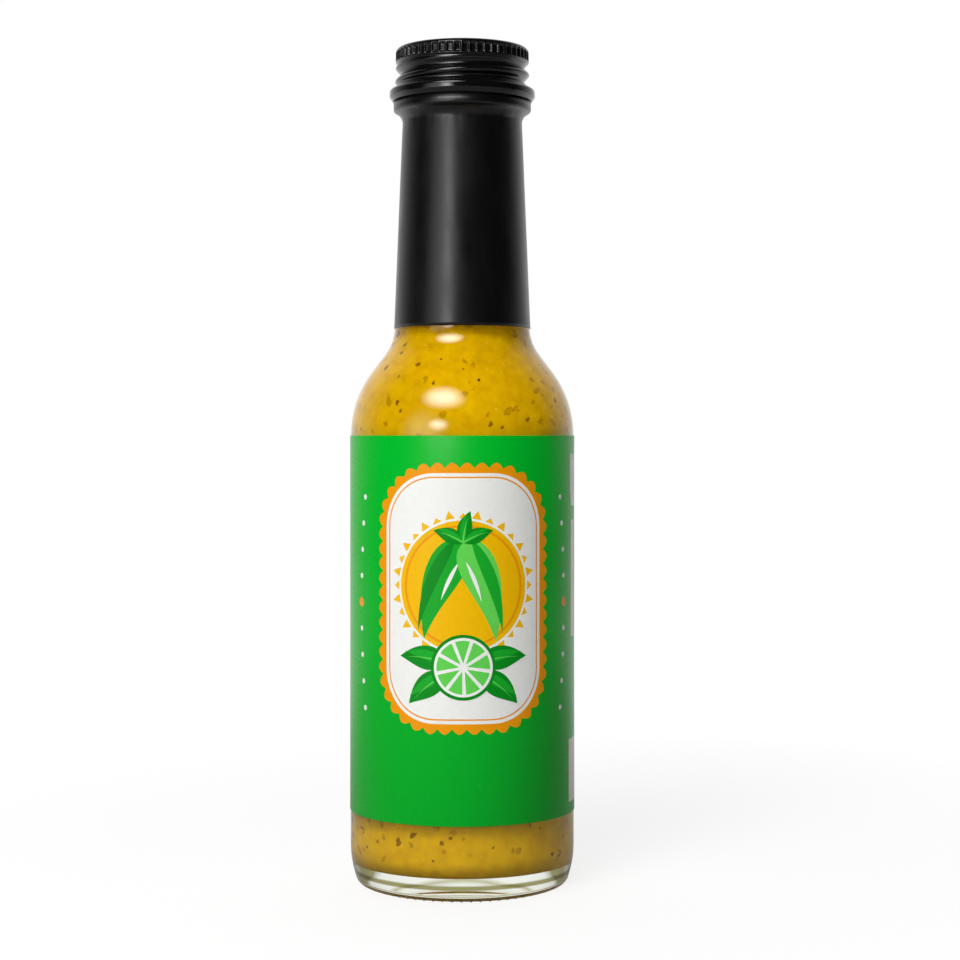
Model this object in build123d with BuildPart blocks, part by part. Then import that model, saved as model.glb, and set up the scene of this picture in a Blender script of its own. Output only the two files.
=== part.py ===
"""Hot sauce bottle: a round glass bottle of sauce with a wrapped label, a rolled-on metal screw cap
and a shrink sleeve over its neck.

Millimetres. +Z is up and is the bottle's axis, the origin is the centre of the ring it stands on,
and the label's front faces -Y. Every solid is turned about Z, apart from the cap's grip flutes and
the open seam at the back of the label.
"""

import os
from math import pi, radians, sin, tan

from build123d import *

# --- Driving sizes -------------------------------------------------------------------------------
# Glass body
body_diameter = 47.0
body_height = 94.4  # top of the straight side, where the shoulder's round begins
glass_wall = 2.3

# Foot
heel_slope = 16.0  # degrees that the side leans in above the standing ring
heel_height = 5.5  # where that lean would meet the straight side
heel_round = 20.0  # between the side and the lean
foot_round = 2.2  # between the lean and the standing ring
ring_width = 1.8  # flat of the standing ring
push_up = 2.2  # how far the underside domes up inside the ring
base_thickness = 4.7  # glass under the sauce
floor_round = 3.5  # inner corner between floor and wall

# Mouth, all under the cap and the sleeve
finish_radius = 12.7
finish_height = 9.1  # from the collar to the lip
finish_wall = 3.2
lip_round = 0.8
collar_step = 1.65  # how far the collar stands out from the finish
collar_height = 3.8
collar_rise = 1.0  # from the neck out to the collar
collar_hollow = 2.5  # round between the neck and that rise
collar_round = 0.6

# Shoulder and neck
shoulder_slope = 37.1  # degrees from the vertical
shoulder_round = 22.0
neck_length = 47.7
neck_inset = 1.95  # the neck's top, in from the collar
neck_spread = 1.95  # the neck's foot, out from its top
neck_round = 10.0
bore_round = 10.0

# Contents
fill_below_lip = 50.0

# Label
label_thickness = 0.15
label_foot = 15.9
label_below_shoulder = 0.1
label_seam = 6.6  # open width between the label's two ends, at the back

# Shrink sleeve
film = 0.15
sleeve_foot = 3.0  # its cut edge stands this far above the meeting of shoulder and neck
sleeve_on_collar = 1.9  # height of the collar that the film covers

# Cap
cap_wall = 0.5
cap_top = 0.4
cap_clearance = 0.15  # between the skirt and the glass
crown_height = 2.9
crown_round = 0.9
thread_depth = 0.7
thread_pitch = 3.0
thread_rings = 2
bead_wall = 0.85
bead_over_collar = 1.2  # the bead's upper edge, above the collar that it grips
bead_round = 1.1
bead_gap = 0.2  # from the sleeve's top edge up to the bead
flute_count = 54
flute_share = 0.8  # of the pitch, the rest is the rib between two flutes
flute_depth = 0.35
flute_height = 1.9
flute_below_top = 0.8

# --- Places worked out from them -----------------------------------------------------------------
body_radius = body_diameter / 2
ring_outer = body_radius - heel_height * tan(radians(heel_slope))
ring_inner = ring_outer - foot_round * tan(radians((90 - heel_slope) / 2)) - ring_width
push_up_radius = (ring_inner**2 + push_up**2) / (2 * push_up)

collar_radius = finish_radius + collar_step
bore_radius = finish_radius - finish_wall
neck_top_radius = collar_radius - neck_inset
neck_foot_radius = neck_top_radius + neck_spread

half_slope_tan = tan(radians(shoulder_slope / 2))
shoulder_run = body_radius - neck_foot_radius
slope_length = shoulder_run / sin(radians(shoulder_slope))
shoulder_radius = min(shoulder_round, 0.6 * slope_length / half_slope_tan)
neck_foot_round = min(neck_round, 0.3 * slope_length / half_slope_tan)
shoulder_height = body_height + shoulder_radius * half_slope_tan
neck_foot = shoulder_height + shoulder_run / tan(radians(shoulder_slope))
neck_top = neck_foot + neck_length
collar_bottom = neck_top + collar_rise
collar_top = collar_bottom + collar_height
lip = collar_top + finish_height
fill_level = lip - fill_below_lip
inside_drop = glass_wall * half_slope_tan  # the wall's inner corners lie this far below its outer ones

label_top = body_height - label_below_shoulder
sleeve_bottom = neck_foot + sleeve_foot
sleeve_top = collar_bottom + sleeve_on_collar

skirt_bore = finish_radius + cap_clearance
thread_root = skirt_bore + cap_wall
crown_radius = thread_root + thread_depth
bead_bore = collar_radius + cap_clearance
bead_radius = bead_bore + bead_wall
bead_bottom = sleeve_top + bead_gap
bead_top = collar_top + bead_over_collar
cap_height = lip + cap_top
crown_bottom = cap_height - crown_height
flute_width = flute_share * 2 * pi * crown_radius / flute_count
flute_middle = cap_height - flute_below_top - flute_height / 2

# --- Sections: half of the bottle cut open, from the axis outwards -------------------------------
with BuildSketch(Plane.XZ) as outer_section:
    with BuildLine():
        outside = FilletPolyline(
            (0, 0),
            (ring_outer, 0),
            (body_radius, heel_height),
            (body_radius, shoulder_height),
            (neck_foot_radius, neck_foot),
            (neck_top_radius, neck_top),
            (collar_radius, collar_bottom),
            (collar_radius, collar_top),
            (finish_radius, collar_top),
            (finish_radius, lip),
            (0, lip),
            radius=[
                foot_round,
                heel_round,
                shoulder_radius,
                neck_foot_round,
                collar_hollow,
                collar_round,
                collar_round,
                cap_clearance,
                lip_round,
            ],
        )
        Line(outside @ 1, outside @ 0)
    make_face()

with BuildSketch(Plane.XZ) as cavity_section:
    with BuildLine():
        inside = FilletPolyline(
            (0, base_thickness),
            (body_radius - glass_wall, base_thickness),
            (body_radius - glass_wall, shoulder_height - inside_drop),
            (neck_foot_radius - glass_wall, neck_foot - inside_drop),
            (bore_radius, neck_top),
            (bore_radius, lip),
            (0, lip),
            radius=[
                floor_round,
                shoulder_radius - glass_wall,
                neck_foot_round + glass_wall,
                bore_round,
                0,
            ],
        )
        Line(inside @ 1, inside @ 0)
    make_face()

# --- Glass bottle --------------------------------------------------------------------------------
with BuildPart() as glass_bottle:
    with BuildSketch(Plane.XZ):
        add(outer_section.sketch)
        add(cavity_section.sketch, mode=Mode.SUBTRACT)
        with Locations((0, push_up - push_up_radius)):
            Circle(push_up_radius, mode=Mode.SUBTRACT)
    revolve(axis=Axis.Z)

glass_bottle.part.label = "glass_bottle"

# --- Sauce: fills the cavity up to its level -----------------------------------------------------
with BuildPart() as sauce:
    with BuildSketch(Plane.XZ):
        add(cavity_section.sketch)
        Rectangle(
            body_radius,
            fill_level,
            align=(Align.MIN, Align.MIN),
            mode=Mode.INTERSECT,
        )
    revolve(axis=Axis.Z)

sauce.part.label = "sauce"

# --- Label: wrapped round the straight side, open at the back ------------------------------------
with BuildPart() as label:
    with BuildSketch(Plane.XY.offset(label_foot)):
        Circle(body_radius + label_thickness)
        Circle(body_radius, mode=Mode.SUBTRACT)
        Rectangle(
            label_seam,
            body_diameter,
            align=(Align.CENTER, Align.MIN),
            mode=Mode.SUBTRACT,
        )
    extrude(amount=label_top - label_foot)

label.part.label = "label"

# --- Shrink sleeve: film over the neck and the collar --------------------------------------------
with BuildPart() as shrink_sleeve:
    with BuildSketch(Plane.XZ):
        add(outer_section.sketch)
        offset(amount=film)
        add(outer_section.sketch, mode=Mode.SUBTRACT)
        with Locations((0, sleeve_bottom)):
            Rectangle(
                body_diameter,
                sleeve_top - sleeve_bottom,
                align=(Align.MIN, Align.MIN),
                mode=Mode.INTERSECT,
            )
    revolve(axis=Axis.Z)

shrink_sleeve.part.label = "shrink_sleeve"

# --- Cap: crown with grip flutes, thread rings and a rolled bead, seated on the lip --------------
with BuildPart() as cap:
    with BuildSketch(Plane.XZ):
        with BuildLine():
            skirt = FilletPolyline(
                (0, bead_bottom),
                (bead_radius, bead_bottom),
                (bead_radius, bead_top),
                (thread_root, bead_top + crown_radius - thread_root),
                (thread_root, crown_bottom),
                (crown_radius, crown_bottom),
                (crown_radius, cap_height),
                (0, cap_height),
                radius=[
                    bead_round / 2,
                    bead_round,
                    bead_round,
                    thread_depth / 2,
                    thread_depth / 3,
                    crown_round,
                ],
            )
            Line(skirt @ 1, skirt @ 0)
        make_face()
        ring_heights = [crown_bottom - (ring + 1) * thread_pitch for ring in range(thread_rings)]
        with Locations(*[(thread_root, height) for height in ring_heights]):
            Circle(thread_depth)
        Rectangle(
            skirt_bore,
            lip,
            align=(Align.MIN, Align.MIN),
            mode=Mode.SUBTRACT,
        )
        Rectangle(
            bead_bore,
            collar_top + cap_clearance,
            align=(Align.MIN, Align.MIN),
            mode=Mode.SUBTRACT,
        )
    revolve(axis=Axis.Z)
    with Locations((0, 0, flute_middle)):
        with PolarLocations(crown_radius, flute_count):
            Box(2 * flute_depth, flute_width, flute_height, mode=Mode.SUBTRACT)

cap.part.label = "cap"

# --- Export --------------------------------------------------------------------------------------
os.makedirs("parts", exist_ok=True)
export_step(glass_bottle.part, "parts/glass_bottle.step")
export_step(sauce.part, "parts/sauce.step")
export_step(label.part, "parts/label.step")
export_step(shrink_sleeve.part, "parts/shrink_sleeve.step")
export_step(cap.part, "parts/cap.step")
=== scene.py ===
"""Hot sauce bottle: the looks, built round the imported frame. Lengths here are millimetres, turned into metres
by MM. The label's front faces -Y, and `around` is the length along the label from the middle of its front."""

import math
import random

import bmesh
import bpy
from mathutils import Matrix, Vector
from mathutils.geometry import tessellate_polygon


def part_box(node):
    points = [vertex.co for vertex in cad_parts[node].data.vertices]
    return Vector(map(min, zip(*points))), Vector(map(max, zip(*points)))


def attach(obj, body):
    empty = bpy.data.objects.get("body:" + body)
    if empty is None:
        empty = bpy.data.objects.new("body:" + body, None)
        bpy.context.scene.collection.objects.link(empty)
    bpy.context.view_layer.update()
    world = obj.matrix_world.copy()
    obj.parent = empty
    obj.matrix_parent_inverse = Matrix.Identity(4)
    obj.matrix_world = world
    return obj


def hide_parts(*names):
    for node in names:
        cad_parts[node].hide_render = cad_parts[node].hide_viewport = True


MM = 0.001
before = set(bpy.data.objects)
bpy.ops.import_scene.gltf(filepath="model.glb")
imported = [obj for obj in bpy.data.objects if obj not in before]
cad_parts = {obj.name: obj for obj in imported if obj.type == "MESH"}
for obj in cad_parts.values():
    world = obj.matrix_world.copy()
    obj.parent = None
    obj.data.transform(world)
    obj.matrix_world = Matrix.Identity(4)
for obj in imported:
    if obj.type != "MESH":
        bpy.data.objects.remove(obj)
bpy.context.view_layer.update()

# --- Sizes, from the frame ------------------------------------------------------------------------
_, GLASS_HIGH = (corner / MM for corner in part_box("glass_bottle"))
SAUCE_LOW, SAUCE_HIGH = (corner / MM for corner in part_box("sauce"))
LABEL_LOW, LABEL_HIGH = (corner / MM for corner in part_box("label"))
SLEEVE_LOW, _ = (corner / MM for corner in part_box("shrink_sleeve"))
CAP_LOW, CAP_HIGH = (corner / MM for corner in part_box("cap"))

BODY_R = GLASS_HIGH.x
WALL = BODY_R - SAUCE_HIGH.x
LIP_Z = GLASS_HIGH.z
LABEL_R = LABEL_HIGH.x
LABEL_Z0 = LABEL_LOW.z
LABEL_Z1 = LABEL_HIGH.z
SLEEVE_Z0 = SLEEVE_LOW.z
BEAD_R = CAP_HIGH.x
CAP_Z0 = CAP_LOW.z
SLEEVE_Z1 = CAP_Z0 - 0.01  # the film runs right up to the bead
CAP_Z1 = CAP_HIGH.z

# Sizes of the glass that the boxes don't give
SLOPE = math.radians(37.1)
SHOULDER_ROUND = 22.0
NECK_ROUND = 10.0
NECK_FOOT_R = 14.35
NECK_TOP_R = 12.4
NECK_TOP_DROP = 13.9  # below the lip
COLLAR_R = 14.35
FINISH_R = 12.7
BORE_R = 9.5
FILM = 0.15
SHOULDER_Z = LABEL_Z1 + 0.1 + SHOULDER_ROUND * math.tan(SLOPE / 2)
NECK_FOOT_Z = SHOULDER_Z + (BODY_R - NECK_FOOT_R) / math.tan(SLOPE)
NECK_TOP_Z = LIP_Z - NECK_TOP_DROP
COLLAR_Z0 = NECK_TOP_Z + 1.0
COLLAR_Z1 = COLLAR_Z0 + 3.8
KNURL_RISE = 0.25  # the standing ring is this far up, and its knurls reach down to the floor
INTO_WALL = 0.12  # how far the sauce reaches into the glass, so that no air gap shows


# --- Mesh helpers ---------------------------------------------------------------------------------
def add_mesh(name, verts, faces, material, smooth=True):
    """A new object from vertices in millimetres."""
    mesh = bpy.data.meshes.new(name)
    mesh.from_pydata([(x * MM, y * MM, z * MM) for x, y, z in verts], [], faces)
    mesh.validate()
    mesh.materials.append(material)
    for polygon in mesh.polygons:
        polygon.use_smooth = smooth
    obj = bpy.data.objects.new(name, mesh)
    bpy.context.scene.collection.objects.link(obj)
    return obj


def rounded(corners, step=math.radians(5)):
    """Points along a path of (r, z, fillet radius) corners, with each fillet as an arc."""
    points = [corners[0][:2]]
    for before, corner, after in zip(corners, corners[1:], corners[2:]):
        here = Vector(corner[:2])
        to_before = (Vector(before[:2]) - here).normalized()
        to_after = (Vector(after[:2]) - here).normalized()
        turn = math.pi - to_before.angle(to_after)
        if corner[2] <= 0 or turn < 1e-4:
            points.append(tuple(here))
            continue
        start = here + to_before * corner[2] * math.tan(turn / 2)
        centre = here + (to_before + to_after).normalized() * corner[2] / math.cos(turn / 2)
        spoke = start - centre
        sign = 1 if to_before.x * to_after.y - to_before.y * to_after.x < 0 else -1
        count = max(3, math.ceil(turn / step))
        for i in range(count + 1):
            angle = sign * turn * i / count
            c, s = math.cos(angle), math.sin(angle)
            points.append((centre.x + spoke.x * c - spoke.y * s, centre.y + spoke.x * s + spoke.y * c))
    points.append(corners[-1][:2])
    return points


def lathe(name, profile, material, segments=192, shift=None):
    """A closed solid turned about Z from a profile that starts and ends on the axis."""
    verts = [(0, 0, profile[0][1])]
    for r, z in profile[1:-1]:
        for i in range(segments):
            angle = 2 * math.pi * i / segments
            dr = shift(angle, r, z) if shift else 0
            verts.append(((r + dr) * math.sin(angle), -(r + dr) * math.cos(angle), z))
    verts.append((0, 0, profile[-1][1]))
    rows = len(profile) - 2
    faces = []
    for i in range(segments):
        j = (i + 1) % segments
        faces.append((0, 1 + j, 1 + i))
        faces.append((len(verts) - 1, 1 + (rows - 1) * segments + i, 1 + (rows - 1) * segments + j))
        for row in range(rows - 1):
            a = 1 + row * segments
            faces.append((a + i, a + j, a + segments + j, a + segments + i))
    obj = add_mesh(name, verts, faces, material)
    fix_normals(obj)
    return obj


def lathe_ring(name, profile, material, segments=192, shift=None):
    """A closed ring turned about Z from a closed profile."""
    verts = []
    for r, z in profile:
        for i in range(segments):
            angle = 2 * math.pi * i / segments
            dr = shift(angle, r, z) if shift else 0
            verts.append(((r + dr) * math.sin(angle), -(r + dr) * math.cos(angle), z))
    faces = []
    for row in range(len(profile)):
        a = row * segments
        b = (row + 1) % len(profile) * segments
        for i in range(segments):
            j = (i + 1) % segments
            faces.append((a + i, a + j, b + j, b + i))
    obj = add_mesh(name, verts, faces, material)
    fix_normals(obj)
    return obj


def fix_normals(obj):
    bm = bmesh.new()
    bm.from_mesh(obj.data)
    bmesh.ops.recalc_face_normals(bm, faces=bm.faces)
    bm.to_mesh(obj.data)
    bm.free()


# --- Materials ------------------------------------------------------------------------------------
def srgb(r, g, b):
    """A linear colour from display values of 0 to 255."""
    channels = [c / 255 for c in (r, g, b)]
    return tuple(c / 12.92 if c <= 0.04045 else ((c + 0.055) / 1.055) ** 2.4 for c in channels) + (1,)


def new_material(name, color, roughness, **sockets):
    material = bpy.data.materials.new(name)
    material.use_nodes = True
    shader = material.node_tree.nodes["Principled BSDF"]
    shader.inputs["Base Color"].default_value = color
    shader.inputs["Roughness"].default_value = roughness
    for socket, value in sockets.items():
        shader.inputs[socket.replace("_", " ")].default_value = value
    return material


def math_node(tree, operation, first, second, constant=None):
    """A node that joins two values, or a value and a constant."""
    node = tree.nodes.new("ShaderNodeMath")
    node.operation = operation
    tree.links.new(first, node.inputs[0])
    if second is None:
        node.inputs[1].default_value = constant
    else:
        tree.links.new(second, node.inputs[1])
    return node.outputs[0]


def add_noise(material, scale, detail=3.0, stretch=(1, 1, 1)):
    """A noise texture in object space, scale in waves per metre."""
    tree = material.node_tree
    coords = tree.nodes.new("ShaderNodeTexCoord")
    mapping = tree.nodes.new("ShaderNodeMapping")
    mapping.inputs["Scale"].default_value = stretch
    noise = tree.nodes.new("ShaderNodeTexNoise")
    noise.inputs["Scale"].default_value = scale
    noise.inputs["Detail"].default_value = detail
    tree.links.new(coords.outputs["Object"], mapping.inputs["Vector"])
    tree.links.new(mapping.outputs["Vector"], noise.inputs["Vector"])
    return noise.outputs["Fac"]


def link_ramp(material, source, socket, stops):
    """Drives a socket of the shader by a colour ramp of (position, colour) stops."""
    tree = material.node_tree
    ramp = tree.nodes.new("ShaderNodeValToRGB")
    elements = ramp.color_ramp.elements
    elements[1].position = stops[-1][0]
    elements[0].position = stops[0][0]
    for position, _ in stops[1:-1]:
        elements.new(position)
    for element, (_, color) in zip(elements, stops):
        element.color = color
    tree.links.new(source, ramp.inputs["Fac"])
    tree.links.new(ramp.outputs["Color"], tree.nodes["Principled BSDF"].inputs[socket])


def add_bump(material, source, distance, strength=1.0):
    tree = material.node_tree
    bump = tree.nodes.new("ShaderNodeBump")
    bump.inputs["Distance"].default_value = distance * MM
    bump.inputs["Strength"].default_value = strength
    tree.links.new(source, bump.inputs["Height"])
    tree.links.new(bump.outputs["Normal"], tree.nodes["Principled BSDF"].inputs["Normal"])


def grey(value):
    return (value, value, value, 1)


def printed(name, r, g, b):
    """Ink on the label's film: a slightly uneven colour under a soft gloss."""
    material = new_material(name, srgb(r, g, b), 0.3, Specular_IOR_Level=0.14)
    low = srgb(r * 0.985, g * 0.985, b * 0.985)
    link_ramp(material, add_noise(material, 900), "Base Color", [(0.35, low), (0.65, srgb(r, g, b))])
    link_ramp(material, add_noise(material, 2500), "Roughness", [(0.3, grey(0.26)), (0.7, grey(0.35))])
    return material


GLASS_TINT = (0.93, 0.95, 0.87, 1)
# Painted reflections: olive lines and a darker olive band stand in for the sauce and its shade seen in the
# thick base
PAINTED_REFLECTION_LINE = (0.3, 0.29, 0.1, 1)
PAINTED_REFLECTION_BAND = (0.12, 0.11, 0.02, 1)
PAINTED_LINES_SPAN = 10.0  # the height from the floor that the glass's ramp of painted reflection lines covers


def make_glass():
    """Clear glass that lets the lamps' light through to the sauce. The olive lines round its thick base are
    painted reflections: a colour ramp on height stands in for the sauce and its shade seen in the base.
    """
    material = new_material("clear_glass", GLASS_TINT, 0.0, IOR=1.5, Transmission_Weight=1.0)
    tree = material.node_tree
    add_bump(material, add_noise(material, 90, 1.0), 0.05, 0.35)
    coords = tree.nodes.new("ShaderNodeTexCoord")
    axes = tree.nodes.new("ShaderNodeSeparateXYZ")
    height = math_node(tree, "MULTIPLY", axes.outputs["Z"], None, 1 / (PAINTED_LINES_SPAN * MM))
    tree.links.new(coords.outputs["Object"], axes.inputs["Vector"])
    # Painted reflections: olive lines and a darker band ring the base below the sauce, set by height alone
    stops = [(SAUCE_LOW.z, PAINTED_REFLECTION_LINE)] + [
        (4.3, PAINTED_REFLECTION_LINE), (4.0, GLASS_TINT), (3.3, GLASS_TINT), (3.1, PAINTED_REFLECTION_LINE), (2.9, GLASS_TINT),
        (2.0, GLASS_TINT), (1.7, PAINTED_REFLECTION_BAND), (1.0, PAINTED_REFLECTION_BAND), (0.6, GLASS_TINT)]
    link_ramp(material, height, "Base Color",
              [((SAUCE_LOW.z - under_sauce) / PAINTED_LINES_SPAN, color) for under_sauce, color in stops])
    path = tree.nodes.new("ShaderNodeLightPath")
    clear = tree.nodes.new("ShaderNodeBsdfTransparent")
    mix = tree.nodes.new("ShaderNodeMixShader")
    output = tree.nodes["Material Output"]
    tree.links.new(path.outputs["Is Shadow Ray"], mix.inputs["Fac"])
    tree.links.new(tree.nodes["Principled BSDF"].outputs["BSDF"], mix.inputs[1])
    tree.links.new(clear.outputs["BSDF"], mix.inputs[2])
    tree.links.new(mix.outputs["Shader"], output.inputs["Surface"])
    return material


def make_sauce():
    """Wet mustard-yellow pulp, a little darker and browner in patches."""
    material = new_material("sauce", srgb(206, 162, 0), 0.5, Specular_IOR_Level=0.0)
    stops = [(0.3, srgb(196, 150, 0)), (0.5, srgb(206, 161, 0)), (0.72, srgb(214, 170, 2))]
    link_ramp(material, add_noise(material, 420, 5.0), "Base Color", stops)
    add_bump(material, add_noise(material, 1500, 4.0), 0.12, 0.5)
    return material


def make_lacquer():
    """Black gloss lacquer on metal."""
    material = new_material("cap_lacquer", grey(0.003), 0.13, Specular_IOR_Level=0.45)
    link_ramp(material, add_noise(material, 500), "Roughness", [(0.3, grey(0.1)), (0.7, grey(0.17))])
    add_bump(material, add_noise(material, 1800, 2.0), 0.01, 0.3)
    return material


def make_film():
    """Black shrink film: soft gloss with faint drawn-up ripples down the neck."""
    material = new_material("sleeve_film", grey(0.002), 0.3, Specular_IOR_Level=0.42)
    ripples = add_noise(material, 300, 3.0, (1, 1, 0.3))
    link_ramp(material, ripples, "Roughness", [(0.3, grey(0.27)), (0.7, grey(0.36))])
    add_bump(material, add_noise(material, 160, 2.0, (1, 1, 0.25)), 0.12, 0.35)
    return material


glass = make_glass()
sauce_pulp = make_sauce()
lacquer = make_lacquer()
film = make_film()
label_green = printed("label_green", 0, 186, 44)
ink_orange = printed("ink_orange", 250, 160, 8)
ink_yellow = printed("ink_yellow", 255, 196, 0)
ink_white = printed("ink_white", 253, 253, 249)
ink_light = printed("ink_light_green", 104, 222, 88)
ink_mid = printed("ink_mid_green", 24, 176, 44)
ink_dark = printed("ink_dark_green", 4, 146, 30)
ink_cream = printed("ink_cream", 240, 236, 222)


# --- Glass bottle ---------------------------------------------------------------------------------
def glass_outside():
    """The outside from the middle of the underside up to the lip, as rounded corners."""
    ring_out = BODY_R - 5.5 * math.tan(math.radians(16))
    return [
        (0, 1.5, 0),
        (6, 1.4, 40),
        (17.2, KNURL_RISE, 4),
        (ring_out, KNURL_RISE, 2.2),
        (BODY_R, 5.5, 20),
        (BODY_R, SHOULDER_Z, SHOULDER_ROUND),
        (NECK_FOOT_R, NECK_FOOT_Z, NECK_ROUND),
        (NECK_TOP_R, NECK_TOP_Z, 2.5),
        (COLLAR_R, COLLAR_Z0, 0.6),
        (COLLAR_R, COLLAR_Z1, 0.6),
        (FINISH_R, COLLAR_Z1, 0.15),
        (FINISH_R, LIP_Z, 0.8),
        (BORE_R, LIP_Z, 0),
    ]


def cavity(grow):
    """The inside from the middle of the floor up to the neck's top, moved out into the wall by grow."""
    drop = WALL * math.tan(SLOPE / 2)
    low = SAUCE_LOW.z
    return [
        (0, low + 1.2 - grow, 0),
        (13, low + 0.7 - grow, 30),
        (BODY_R - WALL + grow, low - grow, 3.8),
        (BODY_R - WALL + grow, SHOULDER_Z - drop, SHOULDER_ROUND - WALL),
        (NECK_FOOT_R - WALL + grow, NECK_FOOT_Z - drop, NECK_ROUND + WALL),
        (BORE_R + grow, NECK_TOP_Z, 10),
    ]


def build_glass():
    outer = rounded(glass_outside())
    inner = rounded(cavity(0) + [(BORE_R, LIP_Z, 0)])
    bottle = lathe("glass_bottle_clear", outer + inner[::-1][1:], glass)
    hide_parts("glass_bottle")
    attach(bottle, "root")


def build_knurls():
    """Small bars moulded under the standing ring, which the bottle stands on."""
    count, ring_r, half_r, half_w = 64, 19.6, 0.75, 0.42
    verts, faces = [], []
    for k in range(count):
        turn = 2 * math.pi * k / count
        start = len(verts)
        for level, size in ((KNURL_RISE + 0.12, 1.0), (0.1, 0.8), (0.0, 0.45)):
            for i in range(10):
                a = 2 * math.pi * i / 10
                r = ring_r + half_r * size * math.cos(a)
                side = half_w * size * math.sin(a)
                x = r * math.sin(turn) + side * math.cos(turn)
                y = -r * math.cos(turn) + side * math.sin(turn)
                verts.append((x, y, level))
        for row in range(2):
            for i in range(10):
                a, b = start + row * 10 + i, start + row * 10 + (i + 1) % 10
                faces.append((a, b, b + 10, a + 10))
        faces.append(tuple(start + i for i in range(10)))
        faces.append(tuple(start + 20 + i for i in range(10))[::-1])
    knurls = add_mesh("base_knurls", verts, faces, glass)
    fix_normals(knurls)
    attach(knurls, "root")


# --- Sauce and what floats in it ------------------------------------------------------------------
def build_sauce():
    top = SAUCE_HIGH.z
    wall = rounded(cavity(INTO_WALL) + [(BORE_R + INTO_WALL, LIP_Z, 0)])
    side = [point for point in wall if point[1] < top - 1 or point[0] == 0]
    rim = side[-1][0] - 0.02 * (top - side[-1][1])
    body = lathe("sauce_body", side + [(rim, top), (rim - 1.2, top - 0.5), (0, top - 0.6)], sauce_pulp)
    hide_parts("sauce")
    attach(body, "root")
    return side


def radius_at(profile, z):
    for (r0, z0), (r1, z1) in zip(profile, profile[1:]):
        if z0 <= z <= z1 and z1 > z0:
            return r0 + (r1 - r0) * (z - z0) / (z1 - z0)
    return profile[-1][0]


def build_flecks(name, side, material, count, sizes, seed, stretch):
    """Thin irregular flakes that lie against the glass, each a low cushion on the sauce."""
    draw = random.Random(seed)
    low_band, high_band = (SAUCE_LOW.z + 2.5, LABEL_Z0 + 1.5), (LABEL_Z1 - 1.5, SLEEVE_Z0 + 2)
    verts, faces = [], []
    for _ in range(count):
        z = draw.uniform(*(low_band if draw.random() < 0.38 else high_band))
        turn = draw.uniform(-math.pi, math.pi)
        size = draw.uniform(sizes[0], sizes[1]) * draw.uniform(0.5, 1) ** 1.5
        lean = draw.uniform(0, math.pi)
        long = draw.uniform(1, stretch)
        lobes = [draw.uniform(0.6, 1.25) for _ in range(9)]
        start = len(verts)
        for level, shrink in ((0.03, 0.55), (0.012, 0.9), (-0.05, 1.0)):
            for i, lobe in enumerate(lobes):
                a = 2 * math.pi * i / len(lobes)
                u = size * shrink * lobe * long * math.cos(a)
                v = size * shrink * lobe * math.sin(a)
                across = u * math.cos(lean) - v * math.sin(lean)
                up = u * math.sin(lean) + v * math.cos(lean)
                r = radius_at(side, z + up) + level
                angle = turn + across / r
                verts.append((r * math.sin(angle), -r * math.cos(angle), z + up))
        n = len(lobes)
        faces.append(tuple(start + i for i in range(n)))
        faces.append(tuple(start + 2 * n + i for i in range(n))[::-1])
        for row in range(2):
            for i in range(n):
                a, b = start + row * n + i, start + row * n + (i + 1) % n
                faces.append((a, a + n, b + n, b))
    flecks = add_mesh(name, verts, faces, material)
    fix_normals(flecks)
    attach(flecks, "root")


def build_all_flecks(side):
    kinds = [
        ("flecks_brown", srgb(142, 96, 2), 42, (0.4, 1.15), 1.6),
        ("flecks_dark", srgb(96, 66, 4), 24, (0.18, 0.5), 1.6),
        ("flecks_amber", srgb(188, 142, 0), 180, (0.3, 1.1), 1.8),
        ("flecks_pale", srgb(224, 186, 50), 220, (0.12, 0.4), 1.5),
        ("flecks_herb", srgb(128, 104, 4), 22, (0.2, 0.6), 2.0),
    ]
    for seed, (name, color, count, sizes, stretch) in enumerate(kinds):
        material = new_material(name, color, 0.5, Specular_IOR_Level=0.0)
        low = tuple(c * 0.7 for c in color[:3]) + (1,)
        link_ramp(material, add_noise(material, 1600), "Base Color", [(0.35, low), (0.6, color)])
        build_flecks(name, side, material, count, sizes, 40 + seed, stretch)


# --- Label and its print --------------------------------------------------------------------------
def build_label():
    """The wrapped film, open at the back, with softly rounded cut edges."""
    seam = 6.6
    half = math.pi - seam / 2 / LABEL_R
    columns = 240
    section = [
        (BODY_R, LABEL_Z0),
        (LABEL_R - 0.04, LABEL_Z0),
        (LABEL_R, LABEL_Z0 + 0.06),
        (LABEL_R, LABEL_Z1 - 0.06),
        (LABEL_R - 0.04, LABEL_Z1),
        (BODY_R, LABEL_Z1),
    ]
    verts, faces = [], []
    for i in range(columns + 1):
        angle = -half + 2 * half * i / columns
        for r, z in section:
            verts.append((r * math.sin(angle), -r * math.cos(angle), z))
    n = len(section)
    for i in range(columns):
        for k in range(n):
            a, b = i * n + k, i * n + (k + 1) % n
            faces.append((a, b, b + n, a + n))
    faces.append(tuple(range(n)))
    faces.append(tuple(columns * n + k for k in range(n))[::-1])
    wrap = add_mesh("label_wrap", verts, faces, label_green)
    fix_normals(wrap)
    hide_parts("label")
    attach(wrap, "root")


INK = 0.004  # how far each layer of ink stands out from the one under it
STRIP = 0.8  # widest flat strip of print, so that it follows the round label


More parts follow.
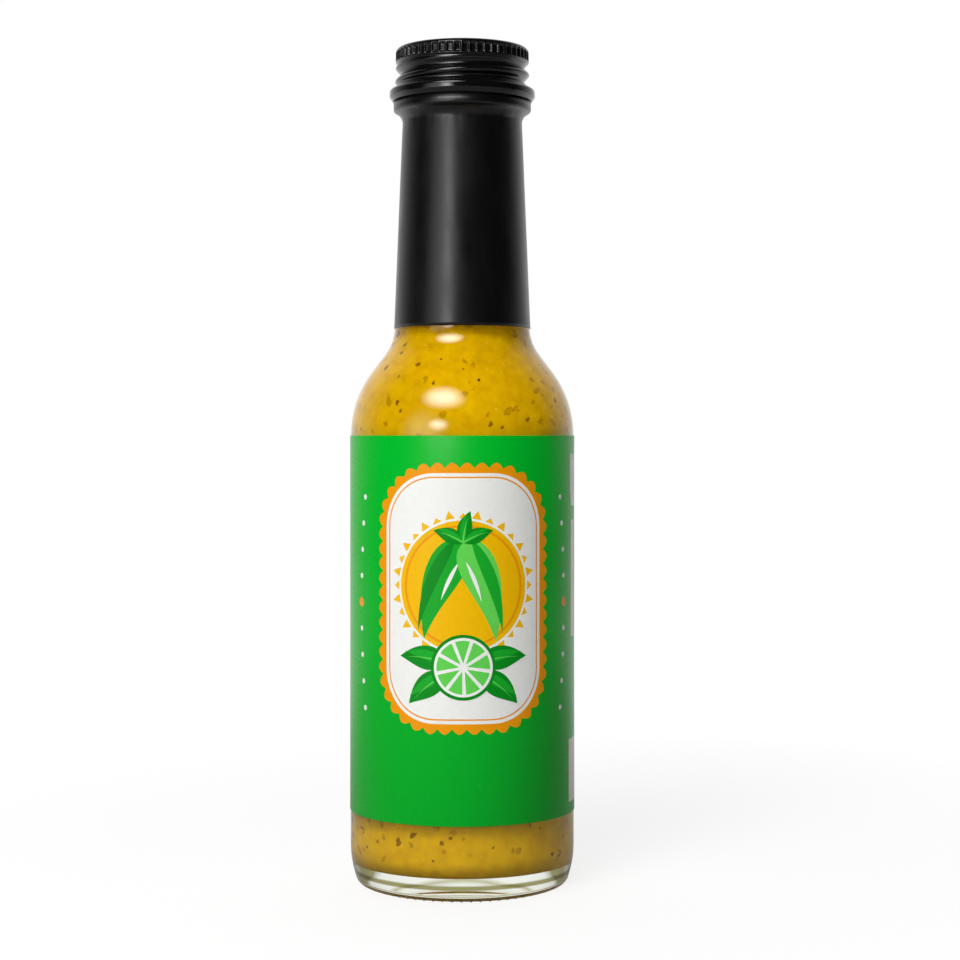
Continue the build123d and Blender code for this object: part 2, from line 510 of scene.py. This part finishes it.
def build_print(name, shapes, material, layer):
    """Flat outlines of (around, up) wrapped on the label as one thin closed skin."""
    bm = bmesh.new()
    for outline in shapes:
        points = [Vector((x, y, 0)) for x, y in outline]
        verts = [bm.verts.new(point) for point in points]
        for triangle in tessellate_polygon([points]):
            try:
                bm.faces.new([verts[i] for i in triangle])
            except ValueError:
                continue
    left = min(v.co.x for v in bm.verts)
    right = max(v.co.x for v in bm.verts)
    cuts = int((right - left) / STRIP)
    for i in range(cuts):
        everything = bm.verts[:] + bm.edges[:] + bm.faces[:]
        place = (left + (right - left) * (i + 1) / (cuts + 1), 0, 0)
        bmesh.ops.bisect_plane(bm, geom=everything, plane_co=place, plane_no=(1, 0, 0), dist=1e-5)
    bmesh.ops.recalc_face_normals(bm, faces=bm.faces)
    top = bm.faces[:]
    made = bmesh.ops.extrude_face_region(bm, geom=top, use_keep_orig=True)
    raised = {v for v in made["geom"] if isinstance(v, bmesh.types.BMVert)}
    for v in bm.verts:
        r = LABEL_R + (INK * layer if v in raised else -0.03)
        angle = v.co.x / LABEL_R
        v.co = Vector((r * math.sin(angle), -r * math.cos(angle), v.co.y)) * MM
    bmesh.ops.triangulate(bm, faces=bm.faces)
    bmesh.ops.recalc_face_normals(bm, faces=bm.faces)
    mesh = bpy.data.meshes.new(name)
    bm.to_mesh(mesh)
    bm.free()
    mesh.materials.append(material)
    piece = bpy.data.objects.new(name, mesh)
    bpy.context.scene.collection.objects.link(piece)
    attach(piece, "root")
    return piece


def circle(x, y, r, count=40):
    turns = [2 * math.pi * i / count for i in range(count)]
    return [(x + r * math.cos(a), y + r * math.sin(a)) for a in turns]


def place(points, x, y, degrees=0.0, scale=1.0):
    """Moves an outline drawn about the origin to its place on the label."""
    c, s = math.cos(math.radians(degrees)) * scale, math.sin(math.radians(degrees)) * scale
    return [(x + u * c - v * s, y + u * s + v * c) for u, v in points]


def panel_edge(x, y, width, height, corner, grow=0.0, scallops=0, depth=0.0):
    """A rounded rectangle, grown outwards, with an optional scalloped edge of so many scallops."""
    half_w, half_h, r = width / 2 + grow, height / 2 + grow, corner + grow
    arc, run_w, run_h = math.pi / 2 * r, 2 * (half_w - r), 2 * (half_h - r)
    length = 4 * arc + 2 * run_w + 2 * run_h
    count = scallops * 10 if scallops else 160
    quarter = [(run_h, 0), (run_w, 90), (run_h, 180), (run_w, 270)]
    in_w, in_h = half_w - r, half_h - r
    centres = [(in_w, in_h), (-in_w, in_h), (-in_w, -in_h), (in_w, -in_h)]
    outline = []
    for i in range(count):
        s = length * i / count
        bulge = depth * abs(math.sin(math.pi * scallops * i / count)) if scallops else 0
        for (run, degrees), (cx, cy) in zip(quarter, centres):
            heading = math.radians(degrees)
            nx, ny = math.cos(heading), math.sin(heading)
            if s <= run:
                back = run - s
                outline.append((x + cx + nx * (r + bulge) + ny * back, y + cy + ny * (r + bulge) - nx * back))
                break
            s -= run
            if s <= arc:
                a = heading + s / r
                outline.append((x + cx + math.cos(a) * (r + bulge), y + cy + math.sin(a) * (r + bulge)))
                break
            s -= arc
    return outline


def taper(length, width, bend, tip=0.0, blunt=0.35, count=22, span=(0, 1), aside=0.0):
    """A curved body that starts blunt and runs out to a tip: a pepper, a leaf, a stem.
    It takes up span of its curve, and lies aside of it by so much."""
    left, right = [], []
    for i in range(count + 1):
        t = i / count
        along = span[0] + (span[1] - span[0]) * t
        angle = bend * along
        x = length * (math.sin(angle) / bend if bend else along) - aside * math.sin(angle)
        y = length * ((1 - math.cos(angle)) / bend if bend else 0) + aside * math.cos(angle)
        half = width / 2 * (math.sin(math.pi * t ** blunt) * (1 - tip) + tip * (1 - t))
        left.append((x - math.sin(angle) * half, y + math.cos(angle) * half))
        right.append((x + math.sin(angle) * half, y - math.cos(angle) * half))
    return left + right[::-1][1:-1]


def wedge(radius, middle, spread, inset):
    """One segment of a cut lime, rounded at the rind."""
    a0, a1 = middle - spread / 2, middle + spread / 2
    arc = [a0 + (a1 - a0) * i / 8 for i in range(9)]
    foot = (inset * math.cos(middle), inset * math.sin(middle))
    return [foot] + [(radius * math.cos(a), radius * math.sin(a)) for a in arc]


def ray(inner, outer, angle, half):
    a, b = angle - half, angle + half
    return [
        (inner * math.cos(a), inner * math.sin(a)),
        (outer * math.cos(angle), outer * math.sin(angle)),
        (inner * math.cos(b), inner * math.sin(b)),
    ]


PANEL_X, PANEL_Z = 0.4, 61.6  # the middle of the panel
PANEL_W, PANEL_H, PANEL_ROUND = 30.0, 46.5, 9.0


def build_panel():
    """A scalloped window like a jar label's, with a sun, two green peppers, leaves and a cut lime."""
    edge = lambda grow, **more: panel_edge(PANEL_X, PANEL_Z, PANEL_W, PANEL_H, PANEL_ROUND, grow, **more)
    build_print("print_scallops", [edge(2.9, scallops=52, depth=1.1)], ink_orange, 1)
    build_print("print_border", [edge(1.9)], ink_white, 2)
    build_print("print_keyline", [edge(1.2)], ink_orange, 3)
    build_print("print_ground", [edge(0.9)], ink_white, 4)

    sun_z = PANEL_Z + 2.5
    sun = [circle(PANEL_X, sun_z, 13.2, 72)]
    rays = [
        place(ray(13.7, 15.4 if k % 2 else 14.7, math.pi * k / 16, 0.07), PANEL_X, sun_z)
        for k in range(32)
    ]
    build_print("print_sun", sun + rays, ink_yellow, 5)
    build_print("print_sun_ring", [circle(PANEL_X, sun_z, 12.3, 72)], ink_orange, 6)
    build_print("print_sun_heart", [circle(PANEL_X, sun_z, 11.8, 72)], ink_yellow, 7)

    bunch = (PANEL_X, PANEL_Z + 11.5)
    peppers = [(-128, 0.55, 21.5, ink_mid, ink_dark), (-56, -0.55, 21.5, ink_light, ink_mid)]
    for k, (degrees, bend, length, flesh_ink, shade_ink) in enumerate(peppers):
        side = 1 if bend > 0 else -1
        layer = 8 + 3 * k
        shapes = [
            ("", taper(length, 7.6, bend, blunt=0.55), flesh_ink),
            ("_shade", taper(length, 2.6, bend, blunt=0.7, span=(0.04, 0.93), aside=-side * 1.5), shade_ink),
            ("_shine", taper(length, 0.8, bend, blunt=0.9, span=(0.18, 0.6), aside=side * 1.7), ink_white),
        ]
        for step, (part, shape, ink) in enumerate(shapes):
            build_print(f"print_pepper{part}_{k}", [place(shape, *bunch, degrees)], ink, layer + step)

    top_leaves = [(0, 11.2, degrees, 6.6) for degrees in (35, 145, 90)]
    low_spots = ((-3, -13, 160), (3, -13, 20), (-3, -15, 204), (3, -15, -24))
    low_leaves = [(x, z, degrees, 10.5) for x, z, degrees in low_spots]
    leaves, veins, halves = [], [], []
    for x, z, degrees, length in top_leaves + low_leaves:
        bend = 0.45 if 100 < degrees < 260 else -0.45
        spot = (PANEL_X + x, PANEL_Z + z)
        leaves.append(place(taper(length, length * 0.46, bend, blunt=0.8), *spot, degrees))
        halves.append(place(taper(length * 0.9, length * 0.2, bend, blunt=0.8), *spot, degrees - 15 * bend))
        veins.append(place(taper(length * 0.88, 0.36, bend, tip=0.8), *spot, degrees))
    build_print("print_leaves", leaves, ink_dark, 17)
    build_print("print_leaf_sides", halves, ink_mid, 18)
    build_print("print_leaf_veins", veins, ink_light, 19)

    lime_z, lime_r = PANEL_Z - 13.8, 6.6
    lime = lambda shape: place(shape, PANEL_X, lime_z, 12)
    build_print("print_lime_rind", [lime(circle(0, 0, lime_r, 60))], ink_dark, 20)
    build_print("print_lime_pith", [lime(circle(0, 0, lime_r - 0.65, 60))], ink_white, 21)
    flesh = [lime(wedge(lime_r - 1.2, math.pi * k / 4.5, 0.56, 0.8)) for k in range(9)]
    build_print("print_lime_flesh", flesh, ink_light, 22)


def build_ornament():
    """Two columns of plain dots beside the panel, and the blank panels at the right."""
    white_dots, orange_dots = [], []
    for side in (-1, 1):
        for k in range(-4, 5):
            z = PANEL_Z - 1.5 + k * 5.4
            x = PANEL_X + side * (25.4 - 0.1 * k * k)
            (orange_dots if k == 0 else white_dots).append(circle(x, z, 1.0 if k == 0 else 0.55, 20))
    build_print("print_dots", white_dots, ink_white, 1)
    build_print("print_middle_dots", orange_dots, ink_orange, 1)

    reach = lambda degrees: math.radians(degrees) * LABEL_R
    outline = lambda *corners: [(reach(degrees), z) for degrees, z in corners]
    upper = outline((73.5, 79.7), (106, 79.7), (106, 90.5), (71.7, 90.5), (71.7, 83.0))
    strip = outline((73, 52.5), (80, 52.5), (80, 76.8), (73, 76.8))
    lower = outline((69.5, 18.3), (118, 18.3), (118, 31.4), (69.5, 31.4))
    build_print("blank_panels", [upper, strip, lower], ink_cream, 1)


# --- Cap ------------------------------------------------------------------------------------------
FLUTES = 54
THREAD_PITCH = 3.18
CROWN_R = 14.05


def smooth_step(low, high, value):
    t = min(1, max(0, (value - low) / (high - low)))
    return t * t * (3 - 2 * t)


def cap_relief(angle, r, z):
    """How far the skirt stands out or in at a place: the rolled thread's waves and the crown's flutes."""
    if r < FINISH_R + 0.4:
        return 0
    below_top = CAP_Z1 - z
    wave = math.cos(2 * math.pi * (z - CAP_Z1 + 5.6) / THREAD_PITCH - angle + math.pi / 2)
    window = smooth_step(3.2, 4.4, below_top) * (1 - smooth_step(7.2, 8.2, below_top))
    relief = 0.5 * wave * window
    across = abs((angle * FLUTES / (2 * math.pi)) % 1 - 0.5) * 2
    arch = smooth_step(0.75, 1.3 - 0.25 * (1 - across), below_top) * (1 - smooth_step(2.5, 2.95, below_top))
    relief -= 0.42 * arch * (1 - smooth_step(0.6, 0.86, across))
    return relief


def build_cap():
    inside_r = FINISH_R + 0.15
    corners = [
        (0, CAP_Z1 - 0.05, 0),
        (11.6, CAP_Z1 - 0.05, 2.5),
        (12.4, CAP_Z1, 1.0),
        (CROWN_R - 0.05, CAP_Z1, 0.95),
        (CROWN_R, CAP_Z1 - 3.1, 0.3),
        (13.62, CAP_Z1 - 3.35, 0.4),
        (13.68, CAP_Z1 - 8.5, 0.6),
        (BEAD_R, CAP_Z0 + 2.5, 0.8),
        (BEAD_R, CAP_Z0 + 0.9, 0.5),
        (COLLAR_R + 0.35, CAP_Z0, 0.15),
        (COLLAR_R + 0.15, CAP_Z0, 0),
        (COLLAR_R + 0.15, COLLAR_Z1 + 0.15, 0),
        (inside_r, COLLAR_Z1 + 0.15, 0),
        (inside_r, LIP_Z, 0),
        (0, LIP_Z, 0),
    ]
    path = rounded(corners, math.radians(12))
    profile = [path[0]]
    for point in path[1:]:
        last = profile[-1]
        on_skirt = min(point[0], last[0]) > 13.3 and abs(point[1] - last[1]) > 0.2
        pieces = math.ceil(abs(point[1] - last[1]) / 0.17) if on_skirt else 1
        for i in range(1, pieces + 1):
            t = i / pieces
            profile.append((last[0] + (point[0] - last[0]) * t, last[1] + (point[1] - last[1]) * t))
    cap = lathe("screw_cap", profile, lacquer, FLUTES * 12, cap_relief)
    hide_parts("cap")
    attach(cap, "root")


# --- Shrink sleeve --------------------------------------------------------------------------------
def sleeve_relief(angle, r, z):
    """The film's slight unevenness, with small puckers drawn in under the collar."""
    near_top = smooth_step(SLEEVE_Z1 - 9, SLEEVE_Z1 - 3, z)
    near_top *= 1 - smooth_step(SLEEVE_Z1 - 2.2, SLEEVE_Z1 - 1.2, z)
    pucker = 0.035 * near_top * math.sin(angle * 23 + 2 * math.sin(3 * angle))
    foot = 0.05 * (1 - smooth_step(SLEEVE_Z0, SLEEVE_Z0 + 0.8, z))
    return min(0, pucker) + foot


def build_sleeve():
    slope = (NECK_FOOT_R - NECK_TOP_R) / (NECK_TOP_Z - NECK_FOOT_Z)
    foot_r = NECK_FOOT_R - slope * (SLEEVE_Z0 - NECK_FOOT_Z)
    base = [(foot_r, SLEEVE_Z0), (NECK_TOP_R, NECK_TOP_Z), (COLLAR_R, COLLAR_Z0), (COLLAR_R, SLEEVE_Z1)]
    rounds = [0, 2.5, 0.6, 0]
    outer = rounded([(r + FILM, z, f) for (r, z), f in zip(base, rounds)], math.radians(6))
    inner = rounded([(r, z, f) for (r, z), f in zip(base, rounds)], math.radians(6))
    rows = 60
    low, high = outer[0], outer[1]
    column = [tuple(a + (b - a) * i / rows for a, b in zip(low, high)) for i in range(rows)]
    section = column + outer[1:] + inner[::-1]
    sleeve = lathe_ring("neck_sleeve", section, film, 240, sleeve_relief)
    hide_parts("shrink_sleeve")
    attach(sleeve, "root")


# --- Studio ---------------------------------------------------------------------------------------
CAMERA_DISTANCE = 455.0
CAMERA_SIDE = 3.74
HORIZON_Z = 94.2
PIXELS_PER_MM = 4.735
SENSOR = 36.0
FRAME_PIXELS = 960
HORIZON_RISE = 44  # pixels by which the level view lies above the middle of the frame


def build_camera():
    data = bpy.data.cameras.new("camera")
    data.sensor_width = SENSOR
    data.lens = PIXELS_PER_MM * CAMERA_DISTANCE / FRAME_PIXELS * SENSOR
    data.shift_y = -HORIZON_RISE / FRAME_PIXELS
    data.clip_start = 0.01
    camera = bpy.data.objects.new("camera", data)
    camera.location = Vector((CAMERA_SIDE, -CAMERA_DISTANCE, HORIZON_Z)) * MM
    camera.rotation_euler = (math.pi / 2, 0, 0)
    bpy.context.scene.collection.objects.link(camera)
    bpy.context.scene.camera = camera


def soften_lamp(data, core):
    """Fades the lamp's face from full strength inside core, a share of its half size, to none at its edge."""
    data.use_nodes = True
    tree = data.node_tree
    face = tree.nodes.new("ShaderNodeNewGeometry")
    reach = tree.nodes.new("ShaderNodeVectorMath")
    reach.operation = "DISTANCE"
    reach.inputs[1].default_value = (0.5, 0.5, 0)
    fade = tree.nodes.new("ShaderNodeMapRange")
    fade.interpolation_type = "SMOOTHSTEP"
    for socket, value in (("From Min", core / 2), ("From Max", 0.5), ("To Min", 1.0), ("To Max", 0.0)):
        fade.inputs[socket].default_value = value
    tree.links.new(face.outputs["Parametric"], reach.inputs[0])
    tree.links.new(reach.outputs["Value"], fade.inputs["Value"])
    tree.links.new(fade.outputs["Result"], tree.nodes["Emission"].inputs["Strength"])


LAMPS = [  # name, azimuth, elevation, distance, width, height, power, core, seen in reflections
    ("key", -23, 40, 900, 820, 480, 19.5, 0.1, True),
    ("strip", -24, 11, 900, 420, 230, 4.5, 0.0, True),
    ("halo", -40, 2, 1000, 1100, 1100, 9.0, 0.0, True),
    ("top", 0, 80, 900, 900, 900, 3.0, 0.3, False),
]
LAMP_AIM_Z = 95


def build_lamp(name, azimuth, elevation, distance, width, height, power, core, reflected):
    """A soft box that looks at the bottle, azimuth to the right of the camera in degrees."""
    data = bpy.data.lights.new(name, "AREA")
    soften_lamp(data, core)
    data.shape = "RECTANGLE"
    data.size, data.size_y = width * MM, height * MM
    data.energy = power
    lamp = bpy.data.objects.new(name, data)
    lamp.visible_glossy = reflected
    a, e = math.radians(azimuth), math.radians(elevation)
    target = Vector((0, 0, LAMP_AIM_Z)) * MM
    offset = Vector((math.sin(a) * math.cos(e), -math.cos(a) * math.cos(e), math.sin(e))) * distance * MM
    lamp.location = target + offset
    lamp.rotation_euler = offset.to_track_quat("Z", "Y").to_euler()
    bpy.context.scene.collection.objects.link(lamp)


def smooth_range(tree, source, start, end, low=0.0, high=1.0):
    """A soft step of a value from low at start to high at end."""
    node = tree.nodes.new("ShaderNodeMapRange")
    node.interpolation_type = "SMOOTHSTEP"
    for socket, value in (("From Min", start), ("From Max", end), ("To Min", low), ("To Max", high)):
        node.inputs[socket].default_value = value
    tree.links.new(source, node.inputs["Value"])
    return node.outputs["Result"]


def seen_directly(tree, along, reach):
    """1 where the floor shows as white: to the camera, through glass away from the bottle's foot, and in
    reflections behind the bottle."""
    path = tree.nodes.new("ShaderNodeLightPath")
    open_floor = smooth_range(tree, reach, 0.012, 0.045)
    through = math_node(tree, "MULTIPLY", open_floor, path.outputs["Is Transmission Ray"])
    far_side = smooth_range(tree, along, -0.04, 0.25)
    behind = math_node(tree, "MULTIPLY", far_side, path.outputs["Is Glossy Ray"])
    either = math_node(tree, "MAXIMUM", through, behind)
    return math_node(tree, "MAXIMUM", either, path.outputs["Is Camera Ray"])


def build_world():
    """White to the camera. As light and in reflections it is white behind the bottle and dark in front."""
    world = bpy.data.worlds.new("studio")
    bpy.context.scene.world = world
    world.use_nodes = True
    tree = world.node_tree
    background = tree.nodes["Background"]
    background.inputs["Color"].default_value = grey(1.0)
    path = tree.nodes.new("ShaderNodeLightPath")
    coords = tree.nodes.new("ShaderNodeTexCoord")
    axes = tree.nodes.new("ShaderNodeSeparateXYZ")
    tree.links.new(coords.outputs["Generated"], axes.inputs["Vector"])
    light = smooth_range(tree, axes.outputs["Y"], 0.0, 0.95, 0.02, 1.0)
    strength = math_node(tree, "MAXIMUM", light, path.outputs["Is Camera Ray"])
    tree.links.new(strength, background.inputs["Strength"])


FLOOR_HALF = 30000
GLOW_NEAR, GLOW_FAR = 0.79, 1.0  # the floor's own light by the bottle and away from it
GLOW_START, GLOW_END = 0.05, 0.5  # metres from the bottle's axis between which it rises


def build_floor():
    """A pale floor that stays white round a faint shadow."""
    half = FLOOR_HALF
    corners = [(-half, -half, 0), (half, -half, 0), (half, half, 0), (-half, half, 0)]
    floor = add_mesh("floor", corners, [(0, 1, 2, 3)], new_material("floor_white", grey(0.42), 0.9))
    tree = floor.data.materials[0].node_tree
    coords = tree.nodes.new("ShaderNodeTexCoord")
    axes = tree.nodes.new("ShaderNodeSeparateXYZ")
    reach = tree.nodes.new("ShaderNodeVectorMath")
    reach.operation = "LENGTH"
    tree.links.new(coords.outputs["Object"], axes.inputs["Vector"])
    tree.links.new(coords.outputs["Object"], reach.inputs[0])
    seen = seen_directly(tree, axes.outputs["Y"], reach.outputs["Value"])
    glow = tree.nodes.new("ShaderNodeEmission")
    rise = smooth_range(tree, reach.outputs["Value"], GLOW_START, GLOW_END, GLOW_NEAR, GLOW_FAR)
    tree.links.new(rise, glow.inputs["Strength"])
    dim = tree.nodes.new("ShaderNodeBsdfDiffuse")
    dim.inputs["Color"].default_value = grey(0.25)
    both = tree.nodes.new("ShaderNodeAddShader")
    mix = tree.nodes.new("ShaderNodeMixShader")
    tree.links.new(glow.outputs[0], both.inputs[0])
    tree.links.new(dim.outputs[0], both.inputs[1])
    tree.links.new(seen, mix.inputs["Fac"])
    tree.links.new(tree.nodes["Principled BSDF"].outputs[0], mix.inputs[1])
    tree.links.new(both.outputs[0], mix.inputs[2])
    tree.links.new(mix.outputs[0], tree.nodes["Material Output"].inputs["Surface"])


build_glass()
build_knurls()
build_all_flecks(build_sauce())
build_label()
build_panel()
build_ornament()
build_cap()
build_sleeve()
build_camera()
for lamp in LAMPS:
    build_lamp(*lamp)
build_floor()
build_world()
bpy.context.scene.view_settings.view_transform = "Standard"
